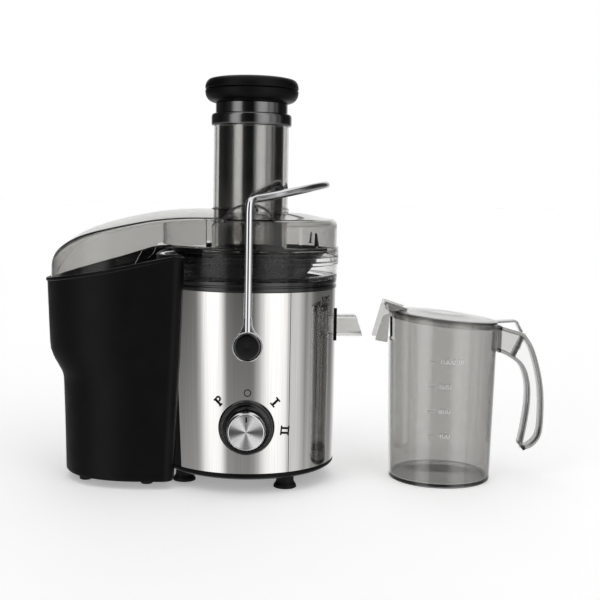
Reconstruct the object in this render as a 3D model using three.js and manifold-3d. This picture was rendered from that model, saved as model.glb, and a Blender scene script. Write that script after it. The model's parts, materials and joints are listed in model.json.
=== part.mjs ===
// Centrifugal juicer with its pulp container and juice jug.
// Millimetres, +Z up, front towards -Y. The motor axis is x = 0, y = 0 while the pieces
// are made, and the finished group is then moved so that its origin is under its middle.
import * as THREE from 'three';
import { mergeVertices } from 'three/addons/utils/BufferGeometryUtils.js';
import Module from 'manifold-3d';

const wasm = await Module();
wasm.setup();

// ---- driving dimensions -------------------------------------------------------------
const GAP = 0.3;                       // clearance between neighbouring pieces

const BODY_R = 88;                     // steel sleeve, outside
const SLEEVE_WALL = 1.1;
const SHELL_WALL = 2.6;
const BASE_Z = 14;                     // underside of the base plate
const SLEEVE_Z = 20.8;                 // foot of the sleeve
const COLLAR_Z = 193.5;                // top of the sleeve, foot of the collar
const COLLECTOR_Z = 203;               // top of the collar
const FLANGE_Z = 217;                  // underside of the collector flange
const LID_SEAT_Z = 225;                // top of the collector flange
const LID_WALL_Z = 234.7;              // top of the lid flange
const LID_EDGE_Z = 260;                // where the lid's wall turns into its low dome
const LID_CROWN_Z = 268;
const LID_R = 87.8;
const LID_WALL = 2.2;
const FLANGE_R = 89.8;
const DECK_Z = 133;
const NOTCH_Z = 140;                   // foot of the notch for the spout
const GLAND_Z = 45;                    // where the cord leaves, at the rear
const GLAND_R = 7.7;
const COLLAR_R = 88.3;

const PIVOT_Z = 144;                   // hinge of the locking arm
const HUB_R = 14.3;                    // round end of the arm
const PIN_R = 4.7;                     // pin that the arm turns on
const DIAL_Z = 65.5;                   // axis of the speed dial
const DIAL_R = 26.8;

const CHUTE_R = 37.4;
const CHUTE_WALL = 2.4;
const CHUTE_BOTTOM_Z = 195;
const CHUTE_TOP_Z = 352.4;
const PUSHER_R = 32.4;
const PUSHER_BOTTOM_Z = 200;
const PUSHER_TOP_Z = 375;
const CAP_R = 46.7;
const TOP_Z = 401;

const WIRE_R = 3.9;
const WIRE_Y = 95.5;
const WIRE_TOP_Z = 281;
const LOOP_X = 76;
const LOOP_Z = 296;

const SPOUT_X = 115;
const SPOUT_W = 26;

const CONTAINER_WALL = 2.5;
const CONTAINER_BOTTOM_Z = 8;
const DUCT_HALF = 75;                  // half the width over which the duct's crown falls
const DUCT_SAG = 6.5;
const RIM_RISE = 0.085;                // how much more steeply the container's rim rises at the rear
const HUG_R = 91.2;                    // hollow side that hugs the body

const JUG_X = 197;
const JUG_Y = -8.2;
const JUG_BASE_R = 51.6;
const JUG_TOP_R = 55.2;
const JUG_WALL = 2.4;
const JUG_RIM_Z = 164.5;               // height of the sloping rim on the jug's axis
const JUG_RIM_TILT = 0.0945;           // radians, down towards the handle

const HOOD_W = 38;                      // hood of the jug lid that takes the spout
const HOOD_WALL = 1.7;

const SHAFT_R = 4;
const BEARING_R = 8;
const CORE_Z = [48, 92];               // foot and top of the motor's iron cores
const BASKET_Z = 186;                  // floor of the filter basket
const SIEVE_TOP_Z = 228;

// ---- materials ----------------------------------------------------------------------
function finish(color, roughness, metalness, opacity = 1) {
  const clear = opacity < 1;
  return new THREE.MeshStandardMaterial({ color, roughness, metalness, opacity, transparent: clear });
}
const brushedSteel = finish(0xb9b7b4, 0.32, 1);
const chrome = finish(0xd8d8da, 0.08, 1);
const mattBlack = finish(0x1a1a1c, 0.6, 0);
const glossBlack = finish(0x101012, 0.2, 0);
const rubber = finish(0x141414, 0.85, 0);
const clearPlastic = finish(0xc9c8c4, 0.08, 0, 0.4);
const smokePlastic = finish(0x8d8c86, 0.08, 0, 0.5);
const innerPlastic = finish(0x3a3a3c, 0.5, 0);
const laminate = finish(0x6f7276, 0.5, 0.8);
const copper = finish(0xb4683a, 0.35, 1);
const meshSteel = finish(0xa9a9ab, 0.35, 1);
const white = finish(0xd9d6cd, 0.5, 0);

// ---- geometry helpers ---------------------------------------------------------------
function signedVolume(position, index) {
  const [a, b, c] = [new THREE.Vector3(), new THREE.Vector3(), new THREE.Vector3()];
  let sum = 0;
  for (let i = 0; i < index.length; i += 3) {
    a.fromBufferAttribute(position, index[i]);
    b.fromBufferAttribute(position, index[i + 1]);
    c.fromBufferAttribute(position, index[i + 2]);
    sum += a.dot(b.cross(c));
  }
  return sum / 6;
}

// One closed surface with shared vertices, no flat triangles and its faces outwards.
function weld(geometry) {
  geometry.deleteAttribute('normal');
  geometry.deleteAttribute('uv');
  const merged = mergeVertices(geometry, 1e-4);
  const index = [];
  for (let i = 0; i < merged.index.count; i += 3) {
    const [a, b, c] = [0, 1, 2].map((k) => merged.index.getX(i + k));
    if (a !== b && b !== c && c !== a) index.push(a, b, c);
  }
  if (signedVolume(merged.attributes.position, index) < 0) index.reverse();
  const clean = new THREE.BufferGeometry();
  clean.setAttribute('position', merged.attributes.position);
  clean.setIndex(index);
  return clean;
}

function toSolid(geometry) {
  const clean = weld(geometry.clone());
  const vertProperties = new Float32Array(clean.attributes.position.array);
  const triVerts = new Uint32Array(clean.index.array);
  return new wasm.Manifold(new wasm.Mesh({ numProp: 3, vertProperties, triVerts }));
}

function fromSolid(solid) {
  const made = solid.getMesh();
  const geometry = new THREE.BufferGeometry();
  geometry.setAttribute('position', new THREE.BufferAttribute(made.vertProperties, 3));
  geometry.setIndex(new THREE.BufferAttribute(made.triVerts, 1));
  return geometry;
}

function combine(operation, first, others) {
  let solid = toSolid(first);
  for (const other of others) solid = solid[operation](toSolid(other));
  return fromSolid(solid);
}
const join = (first, ...others) => combine('add', first, others);
const cut = (first, ...others) => combine('subtract', first, others);
const common = (first, ...others) => combine('intersect', first, others);

// A solid of revolution about Z from [radius, height] points.
function turned(points, segments = 32) {
  const closed = [...points, points[0]].map(([r, z]) => new THREE.Vector2(r, z));
  return new THREE.LatheGeometry(closed, segments).rotateX(Math.PI / 2);
}

const ring = (inner, outer, z0, z1, segments = 32) =>
  turned([[inner, z0], [outer, z0], [outer, z1], [inner, z1]], segments);

const disc = (radius, z0, z1, segments = 32) =>
  new THREE.CylinderGeometry(radius, radius, z1 - z0, segments)
    .rotateX(Math.PI / 2).translate(0, 0, (z0 + z1) / 2);

const box = (x0, x1, y0, y1, z0, z1) =>
  new THREE.BoxGeometry(x1 - x0, y1 - y0, z1 - z0)
    .translate((x0 + x1) / 2, (y0 + y1) / 2, (z0 + z1) / 2);

// A rod along Y, centred on x and z.
const rodY = (radius, y0, y1, x, z, segments = 24) =>
  new THREE.CylinderGeometry(radius, radius, y1 - y0, segments).translate(x, (y0 + y1) / 2, z);

const toShape = (points) => new THREE.Shape(points.map(([x, y]) => new THREE.Vector2(x, y)));

// An outline in plan, raised from z0 to z1.
const plate = (points, z0, z1) =>
  new THREE.ExtrudeGeometry(toShape(points), { depth: z1 - z0, bevelEnabled: false })
    .translate(0, 0, z0);

// An outline seen from the front, as [x, z] points, carried from y0 to y1.
const slab = (points, y0, y1, steps = 1) =>
  new THREE.ExtrudeGeometry(toShape(points), { depth: y1 - y0, steps, bevelEnabled: false })
    .rotateX(Math.PI / 2).translate(0, y1, 0);

// Moves every corner of a geometry up by what rise(corner) gives.
function warped(geometry, rise) {
  const position = geometry.getAttribute('position');
  const corner = new THREE.Vector3();
  for (let i = 0; i < position.count; i += 1) {
    corner.fromBufferAttribute(position, i);
    position.setZ(i, corner.z + rise(corner));
  }
  return geometry;
}

// A solid through equal rows of points, closed by a fan at each end.
function loft(rows) {
  const count = rows[0].length;
  const positions = rows.flat().flatMap((p) => [p.x, p.y, p.z]);
  const index = [];
  for (let row = 0; row + 1 < rows.length; row += 1) {
    for (let i = 0; i < count; i += 1) {
      const [a, b] = [row * count + i, row * count + ((i + 1) % count)];
      index.push(a, b, b + count, a, b + count, a + count);
    }
  }
  const closeEnd = (row, flipped) => {
    const middle = rows[row].reduce((sum, p) => sum.add(p), new THREE.Vector3()).divideScalar(count);
    const centre = positions.length / 3;
    positions.push(middle.x, middle.y, middle.z);
    for (let i = 0; i < count; i += 1) {
      const [a, b] = [row * count + i, row * count + ((i + 1) % count)];
      index.push(...(flipped ? [centre, b, a] : [centre, a, b]));
    }
  };
  closeEnd(0, true);
  closeEnd(rows.length - 1, false);
  const geometry = new THREE.BufferGeometry();
  geometry.setAttribute('position', new THREE.Float32BufferAttribute(positions, 3));
  geometry.setIndex(index);
  return geometry;
}

// A piece with a round section swept along a curve.
function rod(curve, radius, steps, sides = 8) {
  const section = new THREE.Shape();
  section.setFromPoints(Array.from({ length: sides }, (_, i) => {
    const turn = (i / sides) * Math.PI * 2;
    return new THREE.Vector2(radius * Math.cos(turn), radius * Math.sin(turn));
  }));
  return new THREE.ExtrudeGeometry(section, { extrudePath: curve, steps, bevelEnabled: false });
}

const smooth = (points, count) =>
  new THREE.SplineCurve(points.map(([x, y]) => new THREE.Vector2(x, y)))
    .getPoints(count).map((p) => [p.x, p.y]);

const juicer = new THREE.Group();
function add(name, geometry, material, parent = juicer) {
  const mesh = new THREE.Mesh(weld(geometry), material);
  mesh.name = name;
  parent.add(mesh);
  return mesh;
}

// ---- body ---------------------------------------------------------------------------
// The black back of the housing takes over from the steel behind this slanting edge.
const steelEdge = (gap) => [
  [-120, SLEEVE_Z - 5], [-61.8 - gap, SLEEVE_Z - 5], [-51.9 - gap, COLLAR_Z + 5], [-120, COLLAR_Z + 5]];

const bodyOpenings = () => [
  box(60, 100, -SPOUT_W / 2 - 4, SPOUT_W / 2 + 4, NOTCH_Z, COLLAR_Z + 5),
  rodY(DIAL_R + GAP, -100, -60, 0, DIAL_Z),
  rodY(PIN_R + GAP, -100, 100, 0, PIVOT_Z, 20),
  rodY(GLAND_R + GAP, 60, 100, 0, GLAND_Z, 20)];

function addBody() {
  const steel = ring(BODY_R - SLEEVE_WALL, BODY_R, SLEEVE_Z, COLLAR_Z - GAP, 36);
  add('steel_sleeve', cut(steel, slab(steelEdge(0), -100, 100), ...bodyOpenings()), brushedSteel);

  const innerR = BODY_R - SLEEVE_WALL - GAP;
  const [z0, z1] = [SLEEVE_Z + GAP, COLLAR_Z - GAP];
  const inner = ring(innerR - SHELL_WALL, innerR, z0, z1, 36);
  const back = common(ring(innerR - 1, BODY_R, z0, z1, 36), slab(steelEdge(GAP), -100, 100));
  add('body_shell', cut(join(inner, back), ...bodyOpenings()), mattBlack);

  const slots = [-60, -30, 0, 30, 60].map((x) => box(x - 2, x + 2, -18, 18, BASE_Z - 1, SLEEVE_Z + 1));
  const holes = footPlaces.map(([x, y]) => disc(2.6, BASE_Z - 1, SLEEVE_Z + 1, 16).translate(x, y, 0));
  add('base_plate', cut(disc(BODY_R, BASE_Z + GAP, SLEEVE_Z - GAP, 36), ...slots, ...holes), mattBlack);

  footPlaces.forEach(([x, y], i) => {
    const foot = turned([[0, 0], [11.4, 0], [11.4, 3], [8.5, 6], [8.5, 11], [10.5, BASE_Z],
      [2.2, BASE_Z], [2.2, SLEEVE_Z - 1], [0, SLEEVE_Z - 1]], 16);
    add(`foot_${i + 1}`, foot.translate(x, y, 0), rubber);
  });

  add('top_collar', ring(76, COLLAR_R, COLLAR_Z, COLLECTOR_Z, 36), glossBlack);
  const deck = disc(BODY_R - SLEEVE_WALL - SHELL_WALL - 3 * GAP, DECK_Z - 1.3, DECK_Z + 1.7, 36);
  add('motor_deck', cut(deck, disc(12, DECK_Z - 5, DECK_Z + 5, 24)), innerPlastic);
  add('shaft_seal', ring(SHAFT_R + GAP, 11.7, DECK_Z - 2, DECK_Z + 3, 24), rubber);
  add('cord_gland', join(rodY(GLAND_R, 80, 96, 0, GLAND_Z, 20),
    rodY(GLAND_R + 3.3, BODY_R + GAP, 92, 0, GLAND_Z, 20)), rubber);
}
const footPlaces = [[38, -55], [38, 55], [-62, -32], [-62, 32]];

// ---- motor --------------------------------------------------------------------------
function addMotor() {
  const half = 38;
  const windows = [[1, 1], [-1, 1], [-1, -1], [1, -1]].map(([sx, sy]) =>
    box(24.7, 31.3, 14.7, 25.3, 40, 100).translate(sx < 0 ? -56 : 0, sy < 0 ? -40 : 0, 0));
  const core = [[-half, -half + 8], [-half + 8, -half], [half - 8, -half], [half, -half + 8],
    [half, half - 8], [half - 8, half], [-half + 8, half], [-half, half - 8]];
  add('stator_core', cut(plate(core, ...CORE_Z), disc(22.5, 40, 100, 32), ...windows), laminate);
  for (const [name, y] of [['field_coil_front', -25], ['field_coil_rear', 15]]) {
    add(name, cut(box(-31, 31, y, y + 10, 41, 99), box(-25, 25, y - 1, y + 11, 47, 93)), copper);
  }
  const cradle = (zBar, zLeg) => {
    const side = Math.sign(zLeg - zBar);
    return [[-46, zLeg], [-46, zBar], [46, zBar], [46, zLeg], [40, zLeg], [40, zBar + 4 * side],
      [-40, zBar + 4 * side], [-40, zLeg]];
  };
  const seat = (z) => disc(BEARING_R + GAP, z - 6, z + 6, 24);
  add('motor_bracket_lower', cut(slab(cradle(34, 66), -12, 12), seat(36)), laminate);
  add('motor_bracket_upper', cut(slab(cradle(122, 74), -12, 12), seat(120)), laminate);
  add('bearing_lower', ring(SHAFT_R + GAP, BEARING_R, 33, 39, 24), chrome);
  add('bearing_upper', ring(SHAFT_R + GAP, BEARING_R, 117, 123, 24), chrome);
  for (const [side, sign] of [['left', -1], ['right', 1]]) {
    const x = sign * 25.6;
    add(`brush_holder_${side}`, box(x - 14, x + 14, -4, 4, 101, 109), copper);
    add(`motor_mount_${side}`, disc(5, SLEEVE_Z, 34 - GAP, 16).translate(sign * 42, 0, 0), rubber);
  }
}

function addSpinner() {
  add('motor_shaft', disc(SHAFT_R, 22, 168, 16), chrome);
  const bore = SHAFT_R + GAP;
  add('armature_core', ring(bore, 21.9, ...CORE_Z, 32), laminate);
  add('commutator', ring(bore, 11, 99, 112, 24), copper);
  const blades = Array.from({ length: 7 }, (_, i) =>
    box(8, 33, -0.8, 0.8, 24.5, 31.5).rotateZ((i * 2 * Math.PI) / 7));
  add('cooling_fan', join(ring(bore, 9, 24, 32, 24), ring(8, 34, 24, 26, 24), ...blades), innerPlastic);
  add('drive_coupling', cut(disc(13, 152, 177, 24), disc(bore, 150, 168 + GAP, 16)), innerPlastic);
  const hub = turned([[0, 170], [19, 170], [22, 178], [41.5, 180.5], [41.5, BASKET_Z], [0, BASKET_Z]], 32);
  add('basket_hub', cut(hub, disc(13 + GAP, 160, 177 + GAP, 24)), mattBlack);
  add('filter_mesh', turned([[39.3, BASKET_Z + GAP], [41.1, BASKET_Z + GAP], [76, SIEVE_TOP_Z],
    [74.2, SIEVE_TOP_Z]], 40), meshSteel);
  add('basket_rim', ring(73, 78.6, SIEVE_TOP_Z + GAP, 233, 40), mattBlack);
  add('grater_disc', disc(38.6, BASKET_Z + GAP, BASKET_Z + 2.5, 32), meshSteel);
}

// ---- juice collector, lid and chute ---------------------------------------------------
function addCollector() {
  const floorZ = 147;
  const bowl = turned([[15, floorZ], [72, floorZ], [75.4, COLLECTOR_Z - 3], [75.4, COLLECTOR_Z + GAP],
    [COLLAR_R + GAP, COLLECTOR_Z + GAP], [89, FLANGE_Z], [FLANGE_R, FLANGE_Z + 0.8], [FLANGE_R, LID_SEAT_Z],
    [86, LID_SEAT_Z], [85.6, 206], [76, 205], [73, COLLECTOR_Z - 3], [69.8, floorZ + 2.4],
    [17, floorZ + 2.4], [17, 164], [15, 164]], 40);
  const half = SPOUT_W / 2;
  const chute = slab([[70, 144.5], [SPOUT_X, 144.5], [108.5, 164.5], [70, 164.5]], -half, half);
  const channel = slab([[66, 149.6], [80, 147], [SPOUT_X + 9, 147], [SPOUT_X + 9, 162.2], [66, 162.2]],
    -half + 2.2, half - 2.2);
  add('juice_collector', cut(join(bowl, chute), channel), clearPlastic);
}

const superellipse = (a, b, power, turn) => {
  const [c, s] = [Math.cos(turn), Math.sin(turn)];
  return [a * Math.sign(c) * Math.abs(c) ** (2 / power), b * Math.sign(s) * Math.abs(s) ** (2 / power)];
};

// Plan of the container and of the duct above it: a round left end and square right corners.
function horseshoe(a, b, right, corner, steps = 16) {
  const middle = -100;
  const points = [];
  for (let i = 0; i <= steps; i += 1) {
    const [x, y] = superellipse(a, b, 2.3, Math.PI / 2 + (i / steps) * Math.PI);
    points.push([middle + x, y]);
  }
  for (const side of [-1, 1]) {
    for (let i = 0; i <= 4; i += 1) {
      const turn = side < 0 ? -Math.PI / 2 + (i / 8) * Math.PI : (i / 8) * Math.PI;
      points.push([right - corner + corner * Math.cos(turn), side * (b - corner) + corner * Math.sin(turn)]);
    }
  }
  return points;
}

// The duct that carries the pulp: its plan cut to its side view, with a crown that falls to each
// side. Its skirt reaches down inside the container's rim.
function duct(inset) {
  const crown = smooth([[-197.6, 203], [-194, 217.5], [-183.2, 233], [-166, 245.4], [-141.7, 255.4],
    [-106, 264.6], [-73, 269.2], [-45, 270.4], [-10, 270.4]], 16);
  const lower = inset > 0 ? -14 : 0;
  const skirt = [[-10, LID_WALL_Z], [-84, LID_WALL_Z], [-100, 231], [-108, 215.5], [-141, 207.5],
    [-197.6, 195]];
  const roof = slab([...crown.map(([x, z]) => [x + inset, z - inset]), [-10, 100], [-197.6 + inset, 100]],
    -90, 90, 12);
  const walls = slab([...skirt.map(([x, z]) => [x, z + lower]), [-210, 190 + lower], [-210, 300],
    [-10, 300]], -90, 90);
  return common(plate(horseshoe(97.6 - inset, 80.5 - inset, -20 - Math.min(inset, 0), 4), 150, 290),
    warped(roof, (p) => -DUCT_SAG * (p.y / DUCT_HALF) ** 2), walls);
}

// The lid's round cover as a solid: an upright wall and a low dome.
const cover = (inset) => turned([[0, LID_WALL_Z - 0.5], [LID_R - inset, LID_WALL_Z - 0.5],
  [LID_R - inset, LID_EDGE_Z - 6], [LID_R - 2 - inset * 0.8, LID_EDGE_Z - 1.4 - inset * 0.8],
  [LID_R - 6.5 - inset * 0.5, LID_EDGE_Z + 2 - inset], [60, LID_CROWN_Z - 2 - inset],
  [42, LID_CROWN_Z - inset], [0, LID_CROWN_Z - inset]], 40);

// An arched rest for the locking arm, standing on the lid.
function saddle(side) {
  const arch = (r, h) => Array.from({ length: 11 }, (_, i) => {
    const turn = (i / 10) * Math.PI;
    return [r * Math.cos(turn), LID_EDGE_Z - 1 + h * Math.sin(turn)];
  });
  const [y0, y1] = side < 0 ? [-84, -52] : [52, 84];
  const band = cut(slab(arch(24, 17.6), y0, y1), slab([...arch(21.5, 15.1), [-21.5, 240], [21.5, 240]],
    y0 - 1, y1 + 1));
  return cut(band, cover(-GAP), disc(LID_R + 2, 240, LID_EDGE_Z, 40), duct(-GAP));
}

function addLid() {
  const outside = join(cover(0), common(duct(0), disc(FLANGE_R, 180, 290, 40)),
    ring(60, FLANGE_R, LID_SEAT_Z + GAP, LID_WALL_Z, 40));
  add('lid', cut(outside, cover(LID_WALL), duct(LID_WALL),
    disc(85.4, LID_SEAT_Z - 5, LID_WALL_Z + 1, 40),
    disc(CHUTE_R + 1.7 * GAP, LID_EDGE_Z - 20, LID_CROWN_Z + 20, 32),
    disc(CHUTE_R + 2, LID_CROWN_Z, LID_CROWN_Z + 20, 32)), smokePlastic);
  add('pulp_duct', cut(duct(0), duct(LID_WALL), disc(FLANGE_R + GAP, 180, 290, 40)), smokePlastic);
  add('lid_saddle_front', saddle(-1), smokePlastic);
  add('lid_saddle_rear', saddle(1), smokePlastic);
}

function addChute() {
  add('feed_chute', turned([[CHUTE_R - CHUTE_WALL, CHUTE_BOTTOM_Z], [CHUTE_R, CHUTE_BOTTOM_Z],
    [CHUTE_R, LID_CROWN_Z + GAP], [CHUTE_R + 1.4, LID_CROWN_Z + GAP], [CHUTE_R + 1.4, 271], [CHUTE_R, 271],
    [CHUTE_R, CHUTE_TOP_Z], [CHUTE_R - CHUTE_WALL, CHUTE_TOP_Z]], 28), smokePlastic);
}

function addPusher() {
  const wall = 2;
  add('pusher_tube', turned([[0, PUSHER_BOTTOM_Z], [PUSHER_R, PUSHER_BOTTOM_Z],
    [PUSHER_R, PUSHER_TOP_Z], [PUSHER_R - wall, PUSHER_TOP_Z], [PUSHER_R - wall, PUSHER_BOTTOM_Z + wall],
    [0, PUSHER_BOTTOM_Z + wall]], 32), glossBlack);
  const bore = PUSHER_R + 1.5 * GAP;
  add('pusher_collar', turned([[bore, CHUTE_TOP_Z + GAP], [39.4, CHUTE_TOP_Z + GAP],
    [40.2, CHUTE_TOP_Z + 1.5], [40.2, 363.5], [39.4, 364.7], [36, 364.7], [36, PUSHER_TOP_Z + 0.2],
    [bore, PUSHER_TOP_Z + 0.2]], 24), glossBlack);
  add('pusher_cap_base', turned([[0, 375.5], [38, 375.5], [43.5, 377.5], [46.3, 382], [CAP_R, 388.4],
    [0, 388.4]], 32), mattBlack);
  add('pusher_cap', turned([[0, 388.7], [CAP_R, 388.7], [46, 393.5], [43, 397.5], [37, 399.8],
    [20, TOP_Z - 0.2], [0, TOP_Z]], 32), mattBlack);
}

// ---- locking arm ----------------------------------------------------------------------
class ArmPath extends THREE.Curve {
  constructor() {
    super();
    const start = PIVOT_Z + 27;
    const half = [[0, -WIRE_Y, start], [0, -WIRE_Y, 200], [0, -WIRE_Y, 235], [0, -WIRE_Y, 262],
      [0.5, -94, 276], [6, -87, WIRE_TOP_Z + 0.6], [22, -74, 284.4], [42, -59, 288.8], [60, -41, 293],
      [72, -20, 295.4], [LOOP_X, 0, LOOP_Z]].map((p) => new THREE.Vector3(...p));
    const back = half.slice(0, -1).reverse().map((p) => new THREE.Vector3(p.x, -p.y, p.z));
    this.spline = new THREE.CatmullRomCurve3([...half, ...back], false, 'centripetal');
  }

  getPoint(t, target = new THREE.Vector3()) {
    return this.spline.getPoint(t, target);
  }
}

function addArm() {
  add('arm_wire', rod(new ArmPath(), WIRE_R, 40, 8), chrome);
  for (const [end, side] of [['front', -1], ['rear', 1]]) {
    const span = (near, far) => (side < 0 ? [-far, -near] : [near, far]);
    const neck = slab([[-11, PIVOT_Z + 8], [11, PIVOT_Z + 8], [4.6, PIVOT_Z + 26.7], [-4.6, PIVOT_Z + 26.7]],
      ...span(91.5, 99.4));
    const hub = cut(join(rodY(HUB_R, ...span(90.5, 99.8), 0, PIVOT_Z), neck),
      rodY(HUB_R - 1, ...span(97, 102), 0, PIVOT_Z), rodY(PIN_R + 2 * GAP, ...span(88, 95), 0, PIVOT_Z, 20));
    add(`arm_hub_${end}`, hub, chrome);
    add(`arm_cap_${end}`, rodY(HUB_R - 1.3, ...span(97.3, 100.4), 0, PIVOT_Z), glossBlack);
    add(`pivot_pin_${end}`, join(rodY(PIN_R, ...span(80, 94.7), 0, PIVOT_Z, 20),
      rodY(8, ...span(78, 81.5), 0, PIVOT_Z, 20)), brushedSteel);
  }
}

// ---- speed switch -----------------------------------------------------------------------
function addSwitch() {
  add('dial_bezel', cut(rodY(DIAL_R, -91, -80, 0, DIAL_Z, 40), rodY(DIAL_R - 1.2, -92, -90, 0, DIAL_Z, 40),
    rodY(4, -95, -75, 0, DIAL_Z, 16)), glossBlack);
  const grip = turned([[0, 0], [17.2, 0], [18.6, 2], [18.6, 12], [17.4, 17.2], [15.5, 18], [0, 18]], 32)
    .rotateX(Math.PI / 2).translate(0, -91.3, DIAL_Z);
  add('dial_knob', cut(grip, rodY(3 + GAP, -102, -90, 0, DIAL_Z, 16)), chrome);
  add('dial_spindle', rodY(3, -101.5, -63, 0, DIAL_Z, 16), brushedSteel);
  const housing = join(box(-16, 16, -62, -48, DIAL_Z - 14, DIAL_Z + 14), rodY(7, -79, -60, 0, DIAL_Z, 20));
  add('switch_body', cut(housing, rodY(3 + GAP, -90, -58, 0, DIAL_Z, 16)), white);
}

// ---- pulp container ---------------------------------------------------------------------
function containerLoft(inset, bottom) {
  const levels = [[bottom, 83.2, 73.5, -70.5], [103, 86, 78.8, -66], [132, 99, 80.5, -64.5],
    [244, 102.5, 86, -60.5]];
  return loft(levels.map(([z, a, b, right]) => horseshoe(a - inset, b - inset, right - inset, 10)
    .map(([x, y]) => new THREE.Vector3(x, y, z))));
}

function addContainer() {
  const rim = (lift) => [...smooth([[-215, 198 + lift], [-203, 199.6 + lift], [-141, 211 + lift],
    [-90, 222.4 + lift], [-70, 226 + lift], [-50, 223.5 + lift]], 20)];
  const climb = (x) => RIM_RISE * Math.max(0, Math.min(x + 205, -1.6 * (x + 40)));
  const rearRise = ({ x, y, z }) => (z < 190 ? 0 : (climb(x) * (y + 82)) / 164);
  const below = warped(slab([...rim(0), [-50, -5], [-215, -5]], -100, 100), rearRise);
  const band = warped(slab([...rim(0), ...rim(-3).reverse()], -100, 100), rearRise);
  const hug = (r) => disc(r, -10, 260, 36);
  const outer = common(containerLoft(0, CONTAINER_BOTTOM_Z), below);
  const lip = common(containerLoft(-1.6, CONTAINER_BOTTOM_Z), band);
  const inner = cut(containerLoft(CONTAINER_WALL, CONTAINER_BOTTOM_Z + 2.5), hug(HUG_R + CONTAINER_WALL));
  add('pulp_container', cut(join(outer, lip), hug(HUG_R), inner), mattBlack);
  [[-160, -32], [-160, 32], [-98, -46], [-98, 46]].forEach(([x, y], i) => {
    add(`container_pad_${i + 1}`, turned([[0, 0], [6, 0], [7, CONTAINER_BOTTOM_Z - GAP],
      [0, CONTAINER_BOTTOM_Z - GAP]], 16).translate(x, y, 0), rubber);
  });
}

// ---- jug ----------------------------------------------------------------------------------
const tiltAboutRim = (geometry) => geometry.rotateY(JUG_RIM_TILT).translate(0, 0, JUG_RIM_Z);

const jugR = (z) => JUG_BASE_R + ((JUG_TOP_R - JUG_BASE_R) * z) / JUG_RIM_Z;

function addJug() {
  const jug = new THREE.Group();
  jug.position.set(JUG_X, JUG_Y, 0);
  juicer.add(jug);
  const cup = turned([[0, 0], [JUG_BASE_R - 1, 0], [JUG_BASE_R, 1], [jugR(180), 180],
    [jugR(180) - JUG_WALL, 180], [JUG_BASE_R - JUG_WALL, 4], [0, 4]], 40);
  const above = tiltAboutRim(box(-90, 90, -90, 90, 0, 60));
  const mouth = box(-70, -40, HOOD_WALL - HOOD_W / 2, HOOD_W / 2 - HOOD_WALL, 142, 190);
  add('jug_body', cut(cup, above, mouth), smokePlastic, jug);
  add('jug_handle', handle(), smokePlastic, jug);
  add('jug_lid', jugLid(), smokePlastic, jug);
}

// The handle hangs from the rim: a thin web framed by a wide rib.
function handle() {
  const outer = smooth([[83.2, 149.5], [93, 133.7], [101.5, 105.6], [104.8, 78.6], [103.9, 47.6],
    [96.1, 34.1], [85.4, 29.1]], 14);
  const inner = smooth([[81, 35], [84.5, 55], [87.1, 78.5], [86.2, 98.6], [79.8, 116], [66.2, 126.5],
    [50, 131]], 12);
  const outline = [[50, 157.2], [58, 157.2], ...outer, ...inner];
  const frame = cut(slab(outline, -7.5, 7.5), slab(shrink(outline, 3.8), -9, 9));
  const web = slab(shrink(outline, 2), -1.2, 1.2);
  const cup = turned([[0, 0], [JUG_BASE_R + GAP, 0], [jugR(180) + GAP, 180], [0, 180]], 40);
  return cut(join(frame, web), cup);
}

// Moves every corner of a closed outline inwards by a distance.
function shrink(points, distance) {
  const sign = Math.sign(THREE.ShapeUtils.area(points.map(([x, y]) => new THREE.Vector2(x, y))));
  return points.map((p, i) => {
    const before = points[(i + points.length - 1) % points.length];
    const after = points[(i + 1) % points.length];
    const [dx, dy] = [after[0] - before[0], after[1] - before[1]];
    const length = Math.hypot(dx, dy);
    return [p[0] - (sign * dy * distance) / length, p[1] + (sign * dx * distance) / length];
  });
}

// Cover with a plug rim, a hood that takes the spout and a tongue over the handle.
function jugLid() {
  const plugR = JUG_TOP_R - JUG_WALL - 0.6;
  const cover = turned([[0, 6.2], [30, 5.2], [JUG_TOP_R - 2, 2.6], [JUG_TOP_R, 1.6], [JUG_TOP_R, GAP],
    [plugR, GAP], [plugR, -5], [plugR - 2, -5], [plugR - 2, 1], [0, 4.2]], 40);
  const hood = slab([[-37, 174], [-60, 181.3], [-70.6, 142.6], [-58, 140.4], [-56, 166.6], [-46, 170.4]],
    -HOOD_W / 2, HOOD_W / 2);
  const inside = slab([[-55, 173], [-59.5, 178], [-80, 178], [-80, 130], [-50, 130], [-50, 168]],
    -HOOD_W / 2 + HOOD_WALL, HOOD_W / 2 - HOOD_WALL);
  const room = cut(disc(JUG_TOP_R + 0.8, 100, 185, 40), tiltAboutRim(box(-90, 90, -90, 90, GAP, 60)));
  const tongue = slab([[50, 161.2], [56, 161.4], [75, 162.8], [81, 151.5], [79.4, 150.9], [74.2, 161.2],
    [57, 160], [50, 160.2]], -8, 8);
  return cut(join(tiltAboutRim(cover), cut(hood, room), tongue), inside);
}

addBody();
addMotor();
addSpinner();
addCollector();
addLid();
addChute();
addPusher();
addArm();
addSwitch();
addContainer();
addJug();

// The origin goes under the middle of the whole set.
juicer.updateMatrixWorld(true);
const bounds = new THREE.Box3().setFromObject(juicer, true);
const middle = bounds.getCenter(new THREE.Vector3());
juicer.position.set(-middle.x, -middle.y, -bounds.min.z);
juicer.updateMatrixWorld(true);

export default juicer;
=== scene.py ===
import json
import math

import bmesh
import bpy
import numpy as np
from mathutils import Matrix, Vector


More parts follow.
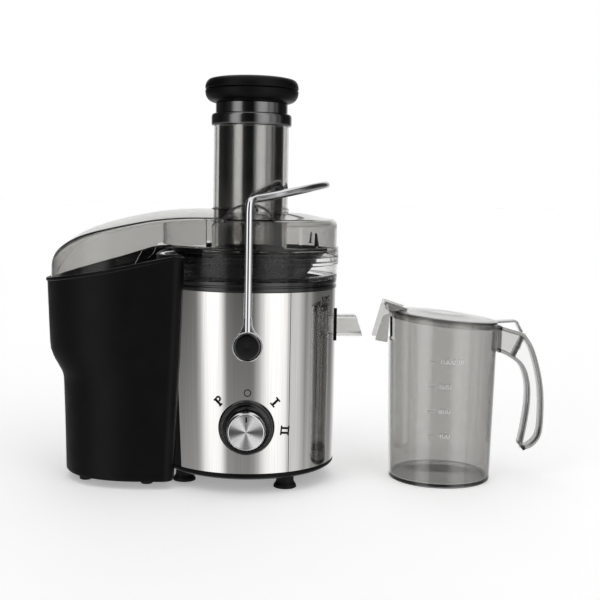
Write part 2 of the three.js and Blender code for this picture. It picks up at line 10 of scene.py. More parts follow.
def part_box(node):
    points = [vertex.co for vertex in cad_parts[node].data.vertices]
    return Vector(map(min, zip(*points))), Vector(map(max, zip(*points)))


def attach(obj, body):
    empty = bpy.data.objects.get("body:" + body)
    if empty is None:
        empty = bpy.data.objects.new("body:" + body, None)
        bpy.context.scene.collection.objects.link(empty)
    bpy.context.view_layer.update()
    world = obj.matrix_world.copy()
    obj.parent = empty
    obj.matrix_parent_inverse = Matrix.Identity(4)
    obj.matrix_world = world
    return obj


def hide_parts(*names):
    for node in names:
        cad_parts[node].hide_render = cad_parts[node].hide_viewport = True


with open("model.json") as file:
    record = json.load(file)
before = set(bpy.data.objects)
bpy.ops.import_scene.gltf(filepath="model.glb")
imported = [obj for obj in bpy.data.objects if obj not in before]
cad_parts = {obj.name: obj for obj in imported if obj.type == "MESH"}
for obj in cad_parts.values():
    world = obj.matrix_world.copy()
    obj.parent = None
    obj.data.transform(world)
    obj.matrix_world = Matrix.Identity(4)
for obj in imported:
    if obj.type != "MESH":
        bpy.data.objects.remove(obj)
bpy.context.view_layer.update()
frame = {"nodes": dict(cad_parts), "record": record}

MM = 0.001
MOUNTS = {mount["name"]: mount for mount in frame["record"]["mounts"]}


def low(node):
    return [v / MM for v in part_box(node)[0]]


def high(node):
    return [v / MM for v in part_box(node)[1]]


def middle_of(node, axis):
    return (low(node)[axis] + high(node)[axis]) / 2


# The upright axes of the motor and of the jug, in millimetres. Shapes are drawn about these.
AXIS = (middle_of("motor_shaft", 0), middle_of("motor_shaft", 1))
JUG = tuple(v / MM for v in MOUNTS["jug_base"]["pos_m"][:2])

BODY_R = (high("base_plate")[0] - low("base_plate")[0]) / 2
SLEEVE_Z = (low("steel_sleeve")[2], high("steel_sleeve")[2])
COLLAR_Z = (low("top_collar")[2], high("top_collar")[2])
SEAT_Z = high("juice_collector")[2]
CHUTE_R = 37.4
CHUTE_TOP = high("feed_chute")[2]
CHUTE_WALL = 2.4
PIVOT_Z = middle_of("arm_cap_front", 2)
DIAL_Z = middle_of("dial_knob", 2)
SPINDLE_ROOM = 6.0                      # half the opening that the dial's spindle passes through
WIRE_Y = 95.5                           # distance of the arm's upright legs from the motor's axis
LID_EDGE_Z = 260.0
LID_CROWN_Z = 268.0
LID_WALL_Z = 234.7
DUCT_X = -100.0                         # where the duct's round end begins
ROUNDNESS = 2 / 2.3                     # power of the superellipse in that round end
HUG_R = 91.2                            # radius of the container's hollow that faces the body
HOOD_HALF = 19.0
HOOD_WALL = 1.7
JUG_BASE_R = 51.6
JUG_TOP_R = 55.2
JUG_WALL = 2.4
JUG_RIM_Z = 164.5
JUG_TILT = 0.0945
GAP = 0.3


# ---- materials --------------------------------------------------------------------------
def add_node(tree, kind, **values):
    """A new shader node with values on its sockets."""
    made = tree.nodes.new(f"ShaderNode{kind}")
    for socket, value in values.items():
        made.inputs[socket.replace("_", " ")].default_value = value
    return made


def math_node(tree, operation, first, second, third=0.0):
    made = add_node(tree, "Math")
    made.operation = operation
    for socket, value in zip(made.inputs, (first, second, third)):
        if isinstance(value, (int, float)):
            socket.default_value = value
        else:
            tree.links.new(value, socket)
    return made.outputs["Value"]


def map_range(tree, value, from_min, from_max, to_min=0.0, to_max=1.0):
    made = add_node(tree, "MapRange", From_Min=from_min, From_Max=from_max, To_Min=to_min, To_Max=to_max)
    tree.links.new(value, made.inputs["Value"])
    return made


class Finish:
    """A node material around one Principled shader, with its texture nodes added by methods."""

    def __init__(self, name, color, roughness, metallic=0.0, **sockets):
        self.material = bpy.data.materials.new(name)
        self.material.use_nodes = True
        self.tree = self.material.node_tree
        self.shader = self.tree.nodes["Principled BSDF"]
        self.shader.inputs["Base Color"].default_value = (*color, 1)
        self.shader.inputs["Roughness"].default_value = roughness
        self.shader.inputs["Metallic"].default_value = metallic
        for socket, value in sockets.items():
            self.shader.inputs[socket.replace("_", " ")].default_value = value
        self.color, self.roughness = color, roughness
        self.coords = add_node(self.tree, "TexCoord")

    def noise(self, scale, stretch=(1, 1, 1)):
        mapping = add_node(self.tree, "Mapping", Scale=stretch)
        texture = add_node(self.tree, "TexNoise", Scale=scale, Detail=3.0)
        self.tree.links.new(self.coords.outputs["Object"], mapping.inputs["Vector"])
        self.tree.links.new(mapping.outputs["Vector"], texture.inputs["Vector"])
        return texture.outputs["Fac"]

    def ramp(self, value, low_value, high_value):
        return map_range(self.tree, value, 0.3, 0.7, low_value, high_value).outputs["Result"]

    def vary_roughness(self, scale, amount, stretch=(1, 1, 1)):
        value = self.ramp(self.noise(scale, stretch), self.roughness - amount, self.roughness + amount)
        self.tree.links.new(value, self.shader.inputs["Roughness"])
        return self

    def vary_color(self, scale, share, stretch=(1, 1, 1)):
        mix = add_node(self.tree, "Mix")
        mix.data_type = "RGBA"
        mix.inputs["A"].default_value = (*[c * (1 - share) for c in self.color], 1)
        mix.inputs["B"].default_value = (*[min(1, c * (1 + share)) for c in self.color], 1)
        self.tree.links.new(self.ramp(self.noise(scale, stretch), 0, 1), mix.inputs["Factor"])
        self.tree.links.new(mix.outputs["Result"], self.shader.inputs["Base Color"])
        return self

    def bump(self, scale, strength, depth=0.0001, stretch=(1, 1, 1)):
        bump = add_node(self.tree, "Bump", Strength=strength, Distance=depth)
        self.tree.links.new(self.noise(scale, stretch), bump.inputs["Height"])
        self.tree.links.new(bump.outputs["Normal"], self.shader.inputs["Normal"])
        return self

    def lets_lamps_through(self, tint):
        """Shadow rays pass the clear plastic tinted, instead of being stopped by it."""
        passing = add_node(self.tree, "BsdfTransparent", Color=(*tint, 1))
        path = add_node(self.tree, "LightPath")
        return self.mixed_with(passing, path.outputs["Is Shadow Ray"])

    def mixed_with(self, other, share):
        """Puts another shader in place of the main one where share is one."""
        mix = add_node(self.tree, "MixShader")
        self.tree.links.new(share, mix.inputs["Fac"])
        self.tree.links.new(self.shader.outputs["BSDF"], mix.inputs[1])
        self.tree.links.new(other.outputs["BSDF"], mix.inputs[2])
        self.tree.links.new(mix.outputs["Shader"], self.tree.nodes["Material Output"].inputs["Surface"])
        return self

    def made(self):
        return self.material


def clear(name, color, tint, roughness=0.03, ior=1.6):
    finish = Finish(name, color, roughness, Transmission_Weight=1.0, IOR=ior)
    return finish.vary_roughness(35, 0.015).bump(55, 0.02, 0.0004).lets_lamps_through(tint).made()


VERTICAL = (1, 1, 0.012)
FINISHES = {
    "brushed_steel": Finish("brushed_steel", (0.66, 0.65, 0.635), 0.075, 1.0)
    .vary_roughness(1500, 0.03, VERTICAL).vary_color(1100, 0.06, VERTICAL)
    .bump(2200, 0.02, 0.00003, VERTICAL).made(),
    "chrome": Finish("chrome", (0.66, 0.66, 0.67), 0.05, 1.0)
    .vary_roughness(60, 0.025).vary_color(40, 0.03).made(),
    "black_matte": Finish("black_matte", (0.003, 0.003, 0.0033), 0.42, Specular_IOR_Level=0.12)
    .vary_roughness(50, 0.05).vary_color(25, 0.15).bump(1100, 0.06, 0.0001).made(),
    "black_gloss": Finish("black_gloss", (0.002, 0.002, 0.0022), 0.1, Specular_IOR_Level=0.7)
    .vary_roughness(60, 0.03).vary_color(30, 0.1).made(),
    "rubber": Finish("rubber", (0.006, 0.006, 0.006), 0.6, Specular_IOR_Level=0.2)
    .vary_roughness(90, 0.08).bump(1600, 0.3, 0.0002).made(),
    "clear_plastic": clear("clear_plastic", (0.93, 0.93, 0.925), (0.95, 0.95, 0.95), ior=1.3),
    "smoke_plastic": clear("smoke_plastic", (0.62, 0.615, 0.6), (0.8, 0.8, 0.79)),
    "inner_plastic": Finish("inner_plastic", (0.03, 0.03, 0.032), 0.45)
    .vary_roughness(80, 0.06).bump(1200, 0.2).made(),
    "laminate": Finish("laminate", (0.32, 0.33, 0.34), 0.45, 0.9)
    .vary_roughness(400, 0.08, (0.02, 0.02, 1)).bump(900, 0.5, 0.0002, (0.01, 0.01, 1)).made(),
    "copper": Finish("copper", (0.62, 0.27, 0.12), 0.32, 1.0)
    .vary_color(300, 0.15).bump(900, 0.5, 0.0003, (0.05, 1, 1)).made(),
    "mesh_steel": Finish("mesh_steel", (0.07, 0.07, 0.07), 0.3, 1.0)
    .vary_roughness(500, 0.06).vary_color(900, 0.3).bump(900, 0.12, 0.0002).made(),
    "white_plastic": Finish("white_plastic", (0.7, 0.68, 0.63), 0.4)
    .vary_roughness(90, 0.05).bump(900, 0.1).made(),
}
CHUTE = clear("chute_plastic", (0.72, 0.715, 0.7), (0.8, 0.8, 0.79), ior=1.15)
LID = clear("lid_plastic", (0.62, 0.615, 0.6), (0.8, 0.8, 0.79), ior=1.3)
SPOUT = clear("spout_plastic", (0.74, 0.735, 0.72), (0.85, 0.85, 0.84), ior=1.45)
# Painted shade: a darker smoke tint that stands in for the dark outlines that clear plastic edges show, used
# on the saddles and the ring under the jug's cover.
SMOKE_PAINTED_SHADE = clear("smoke_painted_shade", (0.3, 0.297, 0.29), (0.6, 0.6, 0.59))
HANDLE = clear("handle_plastic", (0.33, 0.328, 0.32), (0.65, 0.65, 0.64))
SLEEVE = Finish("sleeve_gloss", (0.002, 0.002, 0.0022), 0.08, Specular_IOR_Level=1.0, IOR=2.9)
SLEEVE = SLEEVE.vary_roughness(60, 0.03).vary_color(30, 0.1).made()
COLLAR = Finish("collar_gloss", (0.002, 0.002, 0.0022), 0.1, Specular_IOR_Level=1.0, IOR=1.75)
COLLAR = COLLAR.vary_roughness(60, 0.03).vary_color(30, 0.1).made()
MARK = Finish("printed_mark", (0.006, 0.006, 0.006), 0.6, Specular_IOR_Level=0.1)
MARK = MARK.vary_roughness(200, 0.05).made()
FAINT = Finish("moulded_mark", (0.8, 0.8, 0.78), 0.35, Alpha=0.75)
FAINT = FAINT.vary_roughness(200, 0.05).made()


def spun_metal_painted_sheen():
    """Metal turned on a lathe, with painted sheen: brighter and darker wedges in its colour round the
    piece's own Y axis stand in for the light it reflects.
    """
    finish = Finish("spun_metal_painted_sheen", (0.8, 0.8, 0.81), 0.5, 1.0, Anisotropic=0.9)
    finish.vary_roughness(900, 0.03)
    tree = finish.tree
    spin = add_node(tree, "Tangent")
    spin.direction_type, spin.axis = "RADIAL", "Y"
    tree.links.new(spin.outputs["Tangent"], finish.shader.inputs["Tangent"])
    # Painted sheen: the wedges below brighten and darken the base colour where the turned face would catch
    # and lose the studio's light.
    split = add_node(tree, "SeparateXYZ")
    tree.links.new(finish.coords.outputs["Object"], split.inputs["Vector"])
    turn = math_node(tree, "ARCTAN2", split.outputs["Z"], split.outputs["X"])
    wave = math_node(tree, "SINE", math_node(tree, "MULTIPLY_ADD", turn, 4.0, -math.pi / 2), 0.0)
    painted_sheen_sectors = map_range(tree, wave, -0.9, 0.5, 0.3, 1.0)
    tree.links.new(painted_sheen_sectors.outputs["Result"], finish.shader.inputs["Base Color"])
    return finish.made()


SPUN_PAINTED_SHEEN = spun_metal_painted_sheen()


# ---- mesh helpers -----------------------------------------------------------------------
def piece(name, verts, faces, slot, body, replaced=(), centre=AXIS, material=None, sharp=32):
    """A mesh from points in millimetres about an axis, smooth where its faces nearly meet flat."""
    shift = np.array([centre[0], centre[1], 0.0])
    mesh = bpy.data.meshes.new(name)
    mesh.from_pydata(((np.array(verts, float) + shift) * MM).tolist(), [], faces)
    return dress(bpy.data.objects.new(name, mesh), slot, body, replaced, material, sharp)


def dress(obj, slot, body, replaced=(), material=None, sharp=32):
    if obj.name not in bpy.context.scene.collection.objects:
        bpy.context.scene.collection.objects.link(obj)
    mesh = obj.data
    mesh.validate()
    outward(mesh)
    mesh.materials.clear()
    mesh.materials.append(material or FINISHES[slot])
    smooth(obj, sharp)
    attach(obj, body)
    obj.visible_glossy = body != "container"
    if replaced:
        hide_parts(*replaced)
    return obj


def smooth(obj, angle=32):
    """Smooth shading, except at edges that turn by more than an angle in degrees."""
    obj.data.shade_smooth()
    obj.data.set_sharp_from_angle(angle=math.radians(angle))


def outward(mesh):
    """Turns the faces of a closed mesh outwards."""
    work = bmesh.new()
    work.from_mesh(mesh)
    bmesh.ops.remove_doubles(work, verts=work.verts, dist=1e-6)
    bmesh.ops.recalc_face_normals(work, faces=work.faces)
    work.to_mesh(mesh)
    work.free()


def grid(rows, close_rows=False, close_columns=False):
    """Points and quads through equal rows of points."""
    count, width = len(rows), len(rows[0])
    verts = [p for row in rows for p in row]
    faces = []
    for i in range(count if close_rows else count - 1):
        for j in range(width if close_columns else width - 1):
            k, m = (i + 1) % count, (j + 1) % width
            faces.append((i * width + j, i * width + m, k * width + m, k * width + j))
    return verts, faces


def fillet(points, radius, steps=5):
    """Rounds a closed outline's corners. A corner's own radius may follow its two numbers."""
    out = []
    for i, point in enumerate(points):
        here = np.array(point[:2], float)
        size = point[2] if len(point) > 2 else radius
        before = np.array(points[i - 1][:2], float) - here
        after = np.array(points[(i + 1) % len(points)][:2], float) - here
        reach = min(size, 0.48 * np.linalg.norm(before), 0.48 * np.linalg.norm(after))
        if reach < 0.02:
            out.append(tuple(here))
            continue
        start = here + before / np.linalg.norm(before) * reach
        end = here + after / np.linalg.norm(after) * reach
        for step in range(steps + 1):
            t = step / steps
            out.append(tuple((1 - t) ** 2 * start + 2 * t * (1 - t) * here + t ** 2 * end))
    return out


def turned(outline, segments=144):
    """Points and faces of a closed outline of (radius, height) points, carried round Z."""
    rows = []
    for k in range(segments):
        turn = 2 * math.pi * k / segments
        rows.append([(r * math.cos(turn), r * math.sin(turn), z) for r, z in outline])
    return grid(rows, True, True)


def revolve(name, profile, slot, body, replaced=(), centre=AXIS, radius=0.5, segments=144, material=None):
    """A turned piece from a closed outline of (radius, height) points, with rounded corners."""
    verts, faces = turned(fillet(profile, radius), segments)
    return piece(name, verts, faces, slot, body, replaced, centre, material)


def spline(points, count):
    """A smooth open curve through points of any dimension."""
    p = np.array(points, float)
    p = np.vstack([2 * p[0] - p[1], p, 2 * p[-1] - p[-2]])
    out = []
    spans = len(p) - 3
    for k in range(count + 1):
        u = min(k / count * spans, spans - 1e-9)
        i, t = int(u), u - int(u)
        a, b, c, d = p[i:i + 4]
        out.append(0.5 * (2 * b + (c - a) * t + (2 * a - 5 * b + 4 * c - d) * t * t
                          + (3 * b - a - 3 * c + d) * t ** 3))
    return np.array(out)


def slab(name, outline, y0, y1, slot, body, replaced=(), centre=AXIS, bevel=0.5, **more):
    """An outline seen from the front, carried from y0 to y1, with bevelled edges."""
    near = [(x, y0, z) for x, z in outline]
    far = [(x, y1, z) for x, z in outline]
    count = len(outline)
    faces = [tuple(range(count)), tuple(range(2 * count - 1, count - 1, -1))]
    faces += [(i, (i + 1) % count, count + (i + 1) % count, count + i) for i in range(count)]
    made = piece(name, near + far, faces, slot, body, replaced, centre, **more)
    if bevel:
        round_edges(made, bevel)
    return made


def round_edges(obj, width):
    tool = obj.modifiers.new("edges", "BEVEL")
    tool.width, tool.segments = width * MM, 3
    tool.limit_method, tool.angle_limit = "ANGLE", math.radians(40)
    tool.harden_normals = False
    apply(obj)
    smooth(obj)


def apply(obj):
    """Keeps what the modifiers make, and removes them."""
    graph = bpy.context.evaluated_depsgraph_get()
    graph.update()
    made = bpy.data.meshes.new_from_object(obj.evaluated_get(graph))
    obj.modifiers.clear()
    obj.data = made


def boolean(obj, tools, operation="DIFFERENCE"):
    """Joins or cuts with other meshes, which are then removed."""
    for tool in tools:
        step = obj.modifiers.new("cut", "BOOLEAN")
        step.operation, step.object, step.solver = operation, tool, "EXACT"
        apply(obj)
        bpy.data.objects.remove(tool)
    return obj


def tool_mesh(verts, faces, centre=AXIS):
    """A mesh that only joins or cuts another one."""
    mesh = bpy.data.meshes.new("tool")
    mesh.from_pydata(((np.array(verts, float) + np.array([*centre, 0])) * MM).tolist(), [], faces)
    outward(mesh)
    obj = bpy.data.objects.new("tool", mesh)
    bpy.context.scene.collection.objects.link(obj)
    return obj


def box_tool(x0, x1, y0, y1, z0, z1, centre=AXIS):
    verts = [(x, y, z) for x in (x0, x1) for y in (y0, y1) for z in (z0, z1)]
    faces = [(0, 1, 3, 2), (4, 6, 7, 5), (0, 4, 5, 1), (2, 3, 7, 6), (0, 2, 6, 4), (1, 5, 7, 3)]
    return tool_mesh(verts, faces, centre)


def revolve_tool(profile):
    return tool_mesh(*turned(profile))


def cylinder_tool(radius, z0, z1):
    return revolve_tool([(0, z0), (radius, z0), (radius, z1), (0, z1)])


def sweep(name, path, radius, slot, body, replaced=(), sides=28, centre=AXIS):
    """A round rod along a path, with closed ends. radius is one value or one for each point."""
    path = np.array(path, float)
    radii = radius if hasattr(radius, "__len__") else [radius] * len(path)
    side = np.array([0.0, 1.0, 0.0])
    rows = []
    for i, point in enumerate(path):
        along = path[min(i + 1, len(path) - 1)] - path[max(i - 1, 0)]
        along /= np.linalg.norm(along)
        side = side - along * (side @ along)
        if np.linalg.norm(side) < 1e-3:
            side = np.cross(along, [0.3, 0.1, 1.0])
        side /= np.linalg.norm(side)
        other = np.cross(along, side)
        turns = [2 * math.pi * k / sides for k in range(sides)]
        rows.append([tuple(point + radii[i] * (math.cos(t) * side + math.sin(t) * other)) for t in turns])
    verts, faces = grid(rows, False, True)
    faces += [tuple(range(sides)), tuple(range(len(verts) - 1, len(verts) - sides - 1, -1))]
    return piece(name, verts, faces, slot, body, replaced, centre)


def on_cylinder(points, radius, axis_z, angle=0.0):
    """Flat (x, z) points turned by an angle, and laid on the front of a cylinder."""
    c, s = math.cos(angle), math.sin(angle)
    out = []
    for x, z in points:
        u, v = c * x + s * z, -s * x + c * z
        out.append((radius * math.sin(u / radius), -radius * math.cos(u / radius), axis_z + v))
    return out


# ---- body ---------------------------------------------------------------------------------
def steel_edge(z):
    """How far from the front, in radians, the steel reaches on the container's side."""
    x = -61.8 + (z - SLEEVE_Z[0] + 5) * (9.9 / (SLEEVE_Z[1] - SLEEVE_Z[0] + 10))
    return math.pi / 2 + math.asin(x / BODY_R)


def wrap(name, radius, wall, left, right, z0, z1, slot, replaced=(), notch=None):
    """A sheet round the body between two edges. Angles run from the front towards the spout."""
    columns, levels = 160, [z0, (z0 + z1) / 2, z1]
    if notch:
        levels = [z0, (z0 + notch[1]) / 2, notch[1], z1]
    rows = []
    for z in levels:
        a, b = left(z), right(z)
        rows.append([(radius * math.sin(a + (b - a) * k / columns),
                      -radius * math.cos(a + (b - a) * k / columns), z) for k in range(columns + 1)])
    verts, faces = grid(rows)
    if notch:
        keep = []
        for face in faces:
            middle = np.mean([verts[i] for i in face], 0)
            inside = middle[2] > notch[1] and middle[0] > 0 and abs(middle[1]) < notch[0]
            keep += [] if inside else [face]
        faces = keep
    made = piece(name, verts, faces, slot, "housing", replaced)
    thick = made.modifiers.new("wall", "SOLIDIFY")
    thick.thickness, thick.offset = wall * MM, -1
    apply(made)
    smooth(made)
    return made


SEAM = math.radians(27.3)
SEAM_HALF = 0.0035                      # half the seam's width, in radians


def spindle_hole():
    return box_tool(-SPINDLE_ROOM, SPINDLE_ROOM, -95, -80, DIAL_Z - SPINDLE_ROOM, DIAL_Z + SPINDLE_ROOM)


def build_walls():
    steel = wrap("steel_wrap", BODY_R, 1.0, lambda z: -steel_edge(z), lambda z: SEAM - SEAM_HALF, *SLEEVE_Z,
                 "brushed_steel", ["steel_sleeve"])
    boolean(steel, [spindle_hole()])
    wrap("steel_wrap_side", BODY_R, 1.0, lambda z: SEAM + SEAM_HALF, lambda z: math.pi + steel_edge(z),
         *SLEEVE_Z, "brushed_steel", notch=(17.3, 140))
    bottom, top = SLEEVE_Z
    shell = revolve("inner_shell", [(83.9, bottom + GAP), (86.6, bottom + GAP), (86.6, top), (83.9, top)],
                    "black_matte", "housing", ["body_shell"], radius=0.3)
    boolean(shell, [box_tool(60, 100, -17, 17, 140, 230), spindle_hole()])
    wrap("rear_shell", BODY_R, 1.2, lambda z: math.pi + steel_edge(z) + 0.004,
         lambda z: 2 * math.pi - steel_edge(z) - 0.004, bottom + 0.2, top, "black_matte")
    seal = box_tool(84, 88.4, -17, 17, 140.2, 173)
    seal.name = "spout_seal"
    boolean(seal, [box_tool(80, 95, -15.2, 15.2, 142, 240)])
    dress(seal, "black_matte", "housing")


def build_base():
    z0, z1 = low("base_plate")[2], high("base_plate")[2]
    base = revolve("base_ring", [(0, z0), (BODY_R - 4, z0), (BODY_R, z0 + 2.6, 2), (BODY_R, z1), (0, z1)],
                   "black_matte", "housing", ["base_plate"])
    slots = [box_tool(x - 2, x + 2, -18, 18, z0 - 2, z1 + 2) for x in (-60, -30, 0, 30, 60)]
    boolean(base, slots)
    c0, c1 = COLLAR_Z
    revolve("collar_ring", [(76, c0), (88.3, c0, 0.8), (88.3, c0 + 3.6), (87.3, c0 + 4.2), (87.3, c0 + 5.4),
                            (88.3, c0 + 6), (88.3, c1, 0.8), (76, c1)], "black_gloss", "housing",
            ["top_collar"], radius=0.25)
    for i in range(1, 5):
        foot = f"foot_{i}"
        revolve(f"{foot}_cup", [(0, 0.6), (8.8, 0.6), (10.6, 0), (11.4, 0.6, 0.3), (10.9, 3, 1.5),
                                (8.6, 6, 2), (8.6, 11, 2), (10.5, 13.6, 1), (10.5, 14), (0, 14)],
                "rubber", "housing", [foot], centre=(middle_of(foot, 0), middle_of(foot, 1)), segments=64)


def stroke(a, b, width):
    """A straight bar between two points, as an outline."""
    a, b = np.array(a, float), np.array(b, float)
    side = np.array([-(b - a)[1], (b - a)[0]]) / np.linalg.norm(b - a) * width / 2
    return [tuple(a + side), tuple(b + side), tuple(b - side), tuple(a - side)]


def arc_bars(centre, radius, start, end, width, steps=16):
    turns = [math.radians(start + (end - start) * k / steps) for k in range(steps + 1)]
    points = [(centre[0] + radius * math.cos(t), centre[1] + radius * math.sin(t)) for t in turns]
    return [stroke(points[k], points[k + 1], width) for k in range(steps)]


def build_marks():
    """The dial's generic marks: pulse, off and two speeds, each turned round the dial."""
    bar, stem, top = 1.5, 2.5, 3.9
    one = [stroke((0, -top), (0, top), stem), stroke((-3, top), (3, top), bar),
           stroke((-3, -top), (3, -top), bar)]
    two = [stroke((x, -top), (x, top), 2.1) for x in (-2.3, 2.3)]
    two += [stroke((-4.7, z), (4.7, z), bar) for z in (-top, top)]
    pulse = [stroke((-1.7, -top), (-1.7, top), stem), stroke((-3.6, -top), (0.4, -top), bar)]
    pulse += [stroke((-3.6, top), (0.8, top), bar), stroke((-1.7, 0), (0.8, 0), bar)]
    pulse += arc_bars((0.7, top / 2), top / 2, -90, 90, 2.0)
    off = arc_bars((0, 0), 3.1, 0, 360, 0.9, 32)
    places = (("pulse", pulse, -47, 36.4), ("off", off, 1, 33.2), ("one", one, 49, 36.4),
              ("two", two, 96, 38))
    for name, bars, turn, reach in places:
        verts, faces = [], []
        for outline in bars:
            faces.append(tuple(range(len(verts), len(verts) + len(outline))))
            raised = [(x, z + reach) for x, z in outline]
            verts += on_cylinder(raised, BODY_R + 0.15, DIAL_Z, math.radians(turn))
        piece(f"dial_mark_{name}", verts, faces, "black_gloss", "housing", material=MARK)


# ---- dial -----------------------------------------------------------------------------------
def turn_to_front(obj, x, y, z):
    """Turns a piece made about Z so that its top faces the front."""
    obj.data.transform(Matrix.Rotation(math.radians(90), 4, "X"))
    obj.data.transform(Matrix.Translation(Vector((x + AXIS[0], y + AXIS[1], z)) * MM))
    return obj


def frontal(name, profile, y, z, slot, body, replaced=(), radius=0.4, material=None, segments=96):
    made = revolve(name, profile, slot, body, replaced, (0, 0), radius, segments, material=material)
    return turn_to_front(made, 0, y, z)


def build_dial():
    frontal("dial_ring", [(3.2, 0), (26.6, 0), (26.8, 5), (26.6, 8.6, 1.6), (24.6, 10.9, 1.2),
                          (22.6, 9.8, 0.8), (19.6, 9.4), (3.2, 9.4)], -80, DIAL_Z, "black_gloss",
            "housing", ["dial_bezel"])
    frontal("dial_grip", [(3.4, 0), (17.2, 0), (18.4, 1.6), (18.5, 11.4), (18.1, 14.2, 1.5),
                          (16.9, 17.3, 1.2), (16.2, 17.7, 0.4), (3.4, 17.4)], -91.4, DIAL_Z, "chrome",
            "knob", ["dial_knob"])
    face = revolve("dial_face", [(0, 0), (16.0, 0), (16.0, 0.45), (0, 0.45)], "chrome", "knob",
                   centre=(0, 0), radius=0.1, segments=96, material=SPUN_PAINTED_SHEEN)
    face.data.transform(Matrix.Rotation(math.radians(90), 4, "X"))
    face.location = Vector((AXIS[0], AXIS[1] - 108.75, DIAL_Z)) * MM
    tick = slab("dial_tick", [(-0.7, 9.5), (0.7, 9.5), (0.7, 14.6), (-0.7, 14.6)], -109.3, -108.9,
                "black_gloss", "knob", bevel=0, material=MARK)
    tick.data.transform(Matrix.Translation(Vector((0, 0, DIAL_Z)) * MM))


# ---- collector, lid and chute ---------------------------------------------------------------
def horseshoe(a, b, right, corner, hug):
    """Plan outline: round on the left, and on the right hollow to a circle of radius hug."""
    points = []
    for k in range(57):
        turn = math.pi / 2 + math.pi * k / 56
        c, s = math.cos(turn), math.sin(turn)
        x = DUCT_X + a * math.copysign(abs(c) ** ROUNDNESS, c)
        points.append((x, b * math.copysign(abs(s) ** ROUNDNESS, s)))
    near = [-math.pi / 2 + math.pi / 2 * k / 8 for k in range(9)]
    far = [math.pi / 2 * k / 8 for k in range(9)]
    points += [(right - corner + corner * math.cos(t), corner - b + corner * math.sin(t)) for t in near]
    half = math.atan2(math.sqrt(hug * hug - right * right), -right)
    hollow = [half * (1 - 2 * k / 40) for k in range(41)]
    points += [(-hug * math.cos(t), -hug * math.sin(t)) for t in hollow]
    points += [(right - corner + corner * math.cos(t), b - corner + corner * math.sin(t)) for t in far]
    return points


CROWN = spline([(-197.6, 203), (-196.6, 209), (-194, 217.5), (-189.3, 226), (-183.2, 233), (-174, 240.4),
                (-166, 245.4), (-157, 249.9), (-141.7, 255.4), (-123, 260.5), (-106, 264.4), (-90, 267.3),
                (-73, 269.2), (-56, 270.2), (-45, 270.4), (-30, 270.4)], 120)
DUCT_SAG = 6.4
SKIRT = ((-197.6, 195), (-141, 207.5), (-108, 215.5), (-100, 231), (-84, LID_WALL_Z), (-20, LID_WALL_Z))


def crown(x):
    return float(np.interp(x, CROWN[:, 0], CROWN[:, 1]))


def skirt(x):
    return float(np.interp(x, [p[0] for p in SKIRT], [p[1] for p in SKIRT]))


def duct_mesh(inset, drop=0.0):
    """The pulp duct as a closed solid: upright walls, a rounded shoulder and a low crown."""
    a, b, rows = 97.6 - inset, 80.5 - inset, []
    turns = [math.pi / 2 * (k / 60) ** 1.6 for k in range(61)]
    stations = [(DUCT_X - a * math.cos(t) ** ROUNDNESS, b * max(math.sin(t), 2e-3) ** ROUNDNESS)
                for t in turns]
    stations += [(DUCT_X + 75 * k / 20, b) for k in range(1, 21)]
    for x, half in stations:
        top = crown(min(x + inset * 0.4, -30) - inset * 0.9) - inset
        bottom = skirt(x) - drop
        fall = DUCT_SAG * (half / 75) ** 2
        edge = max(top - fall, bottom + 0.4)
        bend = min(3.2, 0.3 * half, 0.45 * (edge - bottom))
        side = [(half, bottom), (half, (bottom + edge) / 2), (half, edge - bend)]
        side += [(half - bend * (1 - math.cos(t)), edge - bend * (1 - math.sin(t)))
                 for t in [math.pi / 2 * k / 5 for k in range(1, 6)]]
        flat = half - bend
        side += [(flat * (1 - k / 12), edge + (top - edge) * (1 - (1 - k / 12) ** 2)) for k in range(1, 12)]
        left = [(x, -y, z) for y, z in side]
        right = [(x, y, z) for y, z in reversed(side)]
        rows.append([*left, (x, 0, top), *right])
    verts, faces = grid(rows, False, True)
    width = len(rows[0])
    faces += [tuple(range(width)), tuple(range(len(verts) - 1, len(verts) - width - 1, -1))]
    return verts, faces


def lid_cover(inset):
    """Half section of the round cover: an upright wall, a rounded edge and a low dome."""
    r = 87.8 - inset
    outline = [(0, LID_WALL_Z - 0.5), (r, LID_WALL_Z - 0.5)]
    bend = 6.5 - inset * 0.5
    outline += [(r - bend * (1 - math.cos(t)), LID_EDGE_Z + 2 - inset - 7.5 * (1 - math.sin(t)))
                for t in [math.pi / 2 * k / 10 for k in range(11)]]
    outline += [(r, LID_CROWN_Z - inset - 6 * ((r - 42) / 39) ** 1.4) for r in (74, 66, 58, 50)]
    return outline + [(42, LID_CROWN_Z - inset), (0, LID_CROWN_Z - inset)]


def build_lid():
    flange = [(60, SEAT_Z + GAP), (89.4, SEAT_Z + GAP), (89.8, SEAT_Z + 0.8), (89.8, SEAT_Z + 5.2),
              (88.6, SEAT_Z + 5.8), (88.6, SEAT_Z + 6.4), (89.6, SEAT_Z + 7), (89.6, LID_WALL_Z),
              (60, LID_WALL_Z)]
    lid = revolve("lid_cover", lid_cover(0), "smoke_plastic", "housing", ["lid", "pulp_duct"], radius=0,
                  material=LID)
    boolean(lid, [tool_mesh(*duct_mesh(0)), revolve_tool(flange)], "UNION")
    boolean(lid, [revolve_tool(lid_cover(2.2)), tool_mesh(*duct_mesh(2.2, 14)),
                  cylinder_tool(85.4, SEAT_Z - 5, LID_WALL_Z + 1), cylinder_tool(CHUTE_R + 0.5, 240, 290),
                  cylinder_tool(39.4, LID_CROWN_Z, 290)])
    smooth(lid, 24)


